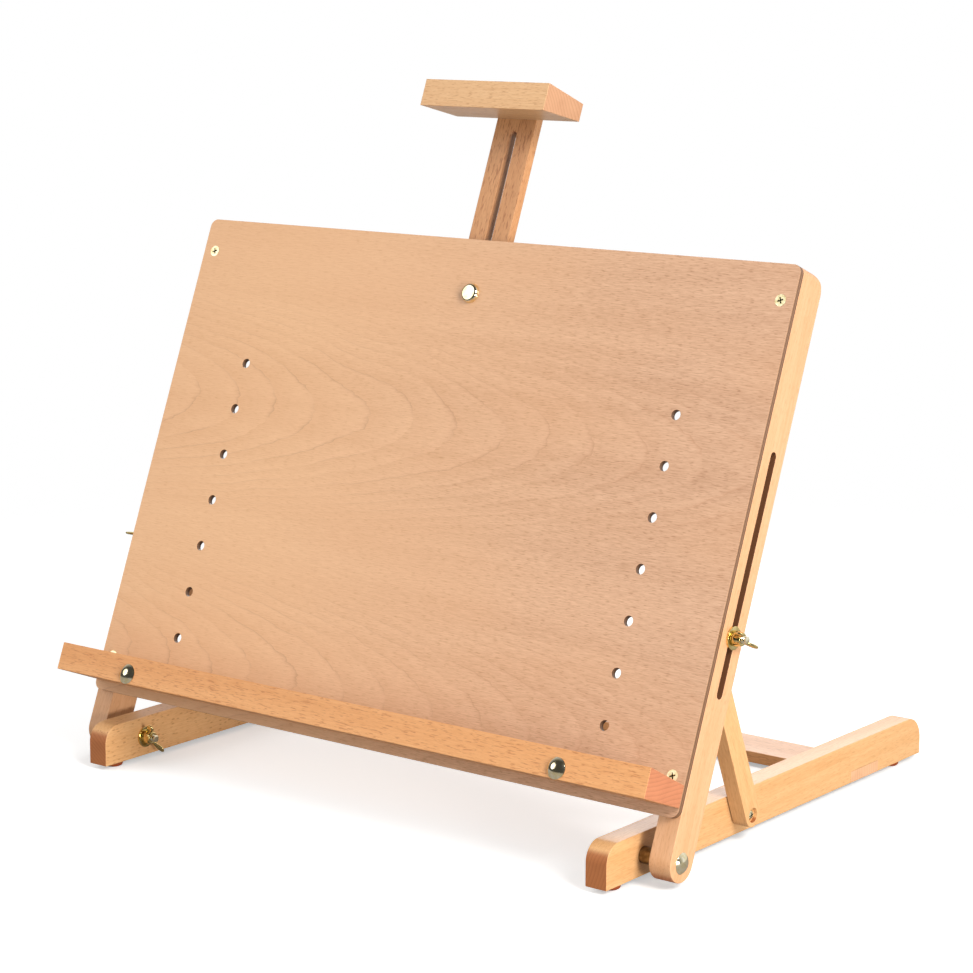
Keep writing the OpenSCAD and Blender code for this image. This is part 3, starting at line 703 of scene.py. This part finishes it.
def make_side_hardware(side, zinc, bright):
    """The pivot bolt's nut at the leg, and the clamping bolt, washer and nut in the rail's slot."""
    name = "left" if side < 0 else "right"
    slot_up = (SLOT_BOLT - PIVOT).dot(UP) / MM
    out = ACROSS * side
    length = span("right_slot_bolt", 0)
    start = HALF_BOARD - length + PAST_WOOD
    piece(name + "_slot_bolt_turned",
          [placed(bolt_shape(length, SIDE_THREAD), seat(on_board(side * start, slot_up, 0), -out))],
          bright, name + "_slot_bolt")
    piece(name + "_slot_washer_turned",
          [placed(washer_shape(WASHER_R, WASHER_T), seat(on_board(side * HALF_BOARD, slot_up, 0), out))],
          zinc, name + "_slot_washer")
    wing_nut(name + "_slot_nut", on_board(side * (HALF_BOARD + WASHER_T), slot_up, 0), out, -OUT, UP, zinc)
    wing_nut(name + "_pivot_nut", on_board(side * (LEG_IN - WASHER_T), 0, 0), -out, Vector((0, 0, 1)),
             Vector((0, 1, 0)), zinc)


def make_hardware():
    """All bolts, washers, spacers, wing nuts and screws."""
    zinc = plated("yellow_zinc", (240, 218, 154), (206, 180, 108), 0.14)
    screw_zinc = plated("pale_zinc", (255, 246, 206), (240, 222, 164), 0.30)
    bright = plated("polished_bolt", (250, 242, 214), (238, 222, 172), 0.12)
    # Dull zinc for the pivot spacers. Its dark colour is partly the matt plating and partly painted shade from
    # between leg and rail
    dull = plated("dull_zinc_and_painted_shade", (150, 128, 92), (116, 96, 66), 0.42)
    head_r = span("clamp_bolt", 0) / 2
    head = dict(head_r=head_r, head_h=span("pivot_bolts", 0) / 2 - HALF_BOARD)
    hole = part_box("ledge_bolts")[1].x / MM - head_r
    ledge_washer, clamp_washer = (middle(node) - PIVOT for node in ("ledge_washers", "clamp_washer"))
    row_up, back_n = ledge_washer.dot(UP) / MM, ledge_washer.dot(OUT) / MM + WASHER_T / 2
    clamp_up, bridge_n = clamp_washer.dot(UP) / MM, clamp_washer.dot(OUT) / MM + WASHER_T / 2
    face_n = back_n + PLY_T

    for side in (-1, 1):
        make_side_hardware(side, zinc, bright)
    pivot_bolt = bolt_shape(HALF_BOARD - LEG_IN + PAST_WOOD, SIDE_THREAD, **head)
    piece("pivot_bolts_turned",
          [placed(pivot_bolt, seat(on_board(s * HALF_BOARD, 0, 0), (s, 0, 0))) for s in (-1, 1)],
          bright, "pivot_bolts")
    ledge_bolt = bolt_shape(LEDGE_DEPTH + PLY_T + PAST_WOOD, BACK_THREAD, **head)
    piece("ledge_bolts_turned",
          [placed(ledge_bolt, seat(on_board(s * hole, row_up, face_n + LEDGE_DEPTH), OUT)) for s in (-1, 1)],
          bright, "ledge_bolts")
    clamp_bolt = bolt_shape(face_n - bridge_n + PAST_WOOD, BACK_THREAD, flatness=11, **head)
    piece("clamp_bolt_turned", [placed(clamp_bolt, seat(on_board(0, clamp_up, face_n), OUT))],
          bright, "clamp_bolt")
    washer = washer_shape(WASHER_R, WASHER_T)
    piece("clamp_washer_turned",
          [placed(washer, seat(on_board(0, clamp_up, bridge_n - WASHER_T), OUT))],
          zinc, "clamp_washer")
    piece("ledge_washers_turned",
          [placed(washer, seat(on_board(s * hole, row_up, back_n - WASHER_T), OUT)) for s in (-1, 1)],
          zinc, "ledge_washers")
    piece("pivot_washers_turned",
          [placed(washer, seat(on_board(s * (LEG_IN - WASHER_T), 0, 0), (s, 0, 0))) for s in (-1, 1)],
          zinc, "pivot_washers")
    spacer = washer_shape(span("pivot_spacers", 2) / 2, HALF_BOARD - LEG_IN - 2 * STOCK_T)
    piece("pivot_spacers_turned",
          [placed(spacer, seat(on_board(s * (LEG_IN + STOCK_T), 0, 0), (s, 0, 0))) for s in (-1, 1)],
          dull, "pivot_spacers")
    wing_nut("clamp_nut", on_board(0, clamp_up, bridge_n - WASHER_T), -OUT, ACROSS, -UP, zinc)
    for s, name in ((-1, "left_ledge_nut"), (1, "right_ledge_nut")):
        wing_nut(name, on_board(s * hole, row_up, back_n - WASHER_T), -OUT, ACROSS, -UP, zinc)
    for node in ("corner_screws", "crossbar_screws", "bridge_screws", "block_screws", "strut_screws",
                 "strut_washers"):
        eased(node, screw_zinc, 0.1 * MM, segments=2)
    for node in ("left_strut_bolt", "right_strut_bolt"):
        eased(node, bright, 0.1 * MM, segments=2)


def make_feet():
    """Button feet: a turned profile with a rounded rim and a shallow dish underneath."""
    low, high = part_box("feet")
    height = (high.z - low.z) / MM
    foot_r = 8.0
    rim = np.linspace(-np.pi / 2, 0, 9)
    profile = np.vstack([[[0.6, 0.25], [4.6, 0.15], [5.2, 0.0]],
                         np.stack([5.5 + 2.5 * np.cos(rim), 2.5 + 2.5 * np.sin(rim)], axis=-1),
                         [[foot_r, height - 0.2], [foot_r - 0.2, height]]])
    foot = skin(turned(profile, 40), [0, 0, 0.25], [0, 0, height])
    inset = foot_r * MM
    places = [(x, y, low.z) for x in (low.x + inset, high.x - inset) for y in (low.y + inset, high.y - inset)]
    piece("feet_turned", [placed(foot, Matrix.Translation(place)) for place in places],
          foot_plastic(), "feet")


# ---------------------------------------------------------------- studio

# Metres and sides of the round floor
FLOOR_R = 1.3
FLOOR_SIDES = 96


def floor_finish():
    """Pale matt floor that fades into the white surroundings with the distance from the object."""
    material, tree, shader = new_material("floor")
    where = tree.add("ShaderNodeTexCoord").outputs["Object"]
    tone = tree.noise(where, (3, 3, 3))
    seen = tree.add("ShaderNodeLightPath").outputs["Is Camera Ray"]
    pale = tree.blend(tone, (0.94, 0.94, 0.94, 1), (0.97, 0.97, 0.97, 1))
    tree.put(shader.inputs["Base Color"], tree.blend(seen, (0.42, 0.41, 0.40, 1), pale))
    tree.put(shader.inputs["Emission Color"], tree.blend(seen, (0, 0, 0, 1), (0.42, 0.42, 0.42, 1)))
    shader.inputs["Emission Strength"].default_value = 1.0
    shader.inputs["Roughness"].default_value = 0.9
    shader.inputs["Specular IOR Level"].default_value = 0.0
    away = tree.add("ShaderNodeVectorMath", {0: where}, operation="LENGTH").outputs["Value"]
    tree.put(shader.inputs["Alpha"], tree.ramp(away, 0.55, 1.25, 1.0, 0.0))
    return material


def soft_light(name, place, aim, size, power, colour=(1, 1, 1)):
    """A round area light of so many metres and watts that shines at a point."""
    data = bpy.data.lights.new(name, "AREA")
    data.shape = "DISK"
    data.size = size
    data.energy = power
    data.color = colour
    light = bpy.data.objects.new(name, data)
    light.location = place
    light.rotation_euler = (Vector(aim) - Vector(place)).to_track_quat("-Z", "Y").to_euler()
    bpy.context.scene.collection.objects.link(light)


def surroundings():
    """White to the camera. The light that falls on the object is dim from below and brighter from above, and
    reflections see a dark studio in front and a bright backdrop behind."""
    world = bpy.data.worlds.new("studio")
    bpy.context.scene.world = world
    world.use_nodes = True
    tree = Tree(world.node_tree)
    background = world.node_tree.nodes["Background"]
    path = tree.add("ShaderNodeLightPath").outputs
    look = tree.add("ShaderNodeTexCoord").outputs["Generated"]
    split = tree.add("ShaderNodeSeparateXYZ", {0: look}).outputs
    height, depth = split["Z"], split["Y"]
    fill = tree.ramp(height, -0.6, 0.9, 0.22, 0.46)
    mirrored = tree.ramp(depth, -0.25, 0.6, 0.05, 0.85)
    strength = tree.add("ShaderNodeMix", {0: path["Is Glossy Ray"], 2: fill, 3: mirrored}).outputs[0]
    strength = tree.add("ShaderNodeMix", {0: path["Is Camera Ray"], 2: strength, 3: 1.0}).outputs[0]
    background.inputs["Color"].default_value = (1, 1, 1, 1)
    tree.put(background.inputs["Strength"], strength)


def make_studio():
    """A pale floor, a large soft light from the right with a low one beside it, a soft box that the bolt
    heads mirror, a fill from behind, and soft surroundings."""
    angle = np.linspace(0, 2 * np.pi, FLOOR_SIDES, endpoint=False)
    rim = np.stack([FLOOR_R * np.cos(angle), FLOOR_R * np.sin(angle), 0 * angle], axis=-1)
    mesh = bpy.data.meshes.new("floor")
    mesh.from_pydata(rim.tolist(), [], [list(range(FLOOR_SIDES))])
    floor = bpy.data.objects.new("floor", mesh)
    bpy.context.scene.collection.objects.link(floor)
    mesh.materials.append(floor_finish())
    soft_light("key_from_the_right", (2.5, -0.85, 2.0), (0, 0, 0.2), 1.3, 60, (1.0, 0.985, 0.96))
    soft_light("low_side", (2.3, -1.0, 0.2), (0, 0, 0.1), 0.7, 29, (1.0, 0.97, 0.92))
    soft_light("soft_box", (-1.6, -1.85, 1.3), (0, 0, 0.25), 1.9, 16)
    soft_light("back_fill", (-1.5, 2.7, 1.5), (0, 0, 0.25), 1.5, 26)
    surroundings()
    bpy.context.scene.view_settings.view_transform = "Standard"


def make_camera():
    """A long lens, 37.9 degrees to the right of the front and 10.6 degrees above the floor, rolled 0.13
    degrees about its own axis."""
    data = bpy.data.cameras.new("camera")
    data.lens = 102.34
    data.sensor_width = 36
    data.clip_end = 200
    camera = bpy.data.objects.new("camera", data)
    place = Vector((1.3722, -1.7933, 0.6622))
    aim = Vector((-0.0090, -0.0167, 0.2394))
    camera.location = place
    turn = (aim - place).to_track_quat("-Z", "Y").to_matrix() @ Matrix.Rotation(math.radians(0.13), 3, "Z")
    camera.rotation_euler = turn.to_euler()
    bpy.context.scene.collection.objects.link(camera)
    bpy.context.scene.camera = camera


make_camera()
make_studio()
make_wood()
make_hardware()
make_feet()
